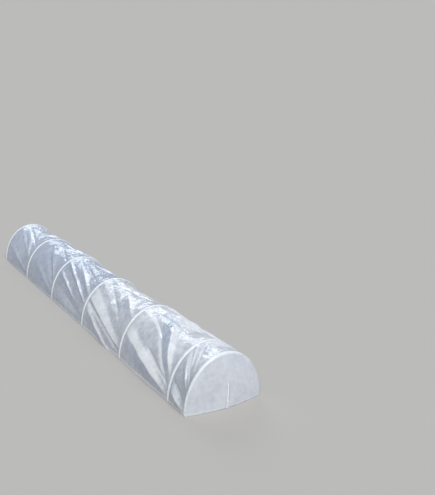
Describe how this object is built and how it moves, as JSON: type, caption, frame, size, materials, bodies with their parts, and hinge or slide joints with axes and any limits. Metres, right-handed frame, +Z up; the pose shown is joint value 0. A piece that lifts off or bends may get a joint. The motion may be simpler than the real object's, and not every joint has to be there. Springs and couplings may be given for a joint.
{
  "type": "row cover tunnel",
  "caption": "Low garden tunnel of clear film on wire hoops, closed at both ends, which folds up along its length.",
  "frame": {"origin": "on the soil, under the middle of the tunnel", "axes": "+Y along the tunnel from the front hoop to the back hoop, +Z up out of the soil, X across between the feet of each hoop"},
  "size_m": [0.4572, 3.0956, 0.4085],
  "materials": {
    "coated_wire": "steel wire in a smooth white plastic coat",
    "pocket_film": "two welded layers of clear soft film, milky",
    "clear_film": "clear soft polythene film, slightly milky, creased"
  },
  "bodies": {
    "front_end": {"hoop_1": "coated_wire", "hoop_pocket_1": "pocket_film", "cover_bay_1": "clear_film", "end_panel_front": "clear_film", "stake_pocket_front": "pocket_film"},
    "second_hoop": {"hoop_2": "coated_wire", "hoop_pocket_2": "pocket_film", "cover_bay_2": "clear_film"},
    "third_hoop": {"hoop_3": "coated_wire", "hoop_pocket_3": "pocket_film", "cover_bay_3": "clear_film"},
    "fourth_hoop": {"hoop_4": "coated_wire", "hoop_pocket_4": "pocket_film", "cover_bay_4": "clear_film"},
    "fifth_hoop": {"hoop_5": "coated_wire", "hoop_pocket_5": "pocket_film", "cover_bay_5": "clear_film"},
    "sixth_hoop": {"hoop_6": "coated_wire", "hoop_pocket_6": "pocket_film", "cover_bay_6": "clear_film"},
    "back_end": {"hoop_7": "coated_wire", "hoop_pocket_7": "pocket_film", "end_panel_back": "clear_film", "stake_pocket_back": "pocket_film"},
    "front_stake": {"stake_front": "coated_wire"},
    "back_stake": {"stake_back": "coated_wire"}
  },
  "joints": [
    {"name": "bay_1_close", "type": "slide", "parent": "front_end", "child": "second_hoop", "axis": [0, -1, 0], "range_m": [0, 0.13], "deforming": ["cover_bay_1"]},
    {"name": "bay_2_close", "type": "slide", "parent": "second_hoop", "child": "third_hoop", "axis": [0, -1, 0], "range_m": [0, 0.532], "deforming": ["cover_bay_2"]},
    {"name": "bay_3_close", "type": "slide", "parent": "third_hoop", "child": "fourth_hoop", "axis": [0, -1, 0], "range_m": [0, 0.532], "deforming": ["cover_bay_3"]},
    {"name": "bay_4_close", "type": "slide", "parent": "fourth_hoop", "child": "fifth_hoop", "axis": [0, -1, 0], "range_m": [0, 0.532], "deforming": ["cover_bay_4"]},
    {"name": "bay_5_close", "type": "slide", "parent": "fifth_hoop", "child": "sixth_hoop", "axis": [0, -1, 0], "range_m": [0, 0.532], "deforming": ["cover_bay_5"]},
    {"name": "bay_6_close", "type": "slide", "parent": "sixth_hoop", "child": "back_end", "axis": [0, -1, 0], "range_m": [0, 0.532], "deforming": ["cover_bay_6"]},
    {"name": "front_stake_lift", "type": "slide", "parent": "front_end", "child": "front_stake", "axis": [0, 0, 1], "range_m": [0, 0.12]},
    {"name": "back_stake_lift", "type": "slide", "parent": "back_end", "child": "back_stake", "axis": [0, 0, 1], "range_m": [0, 0.12]}
  ]
}
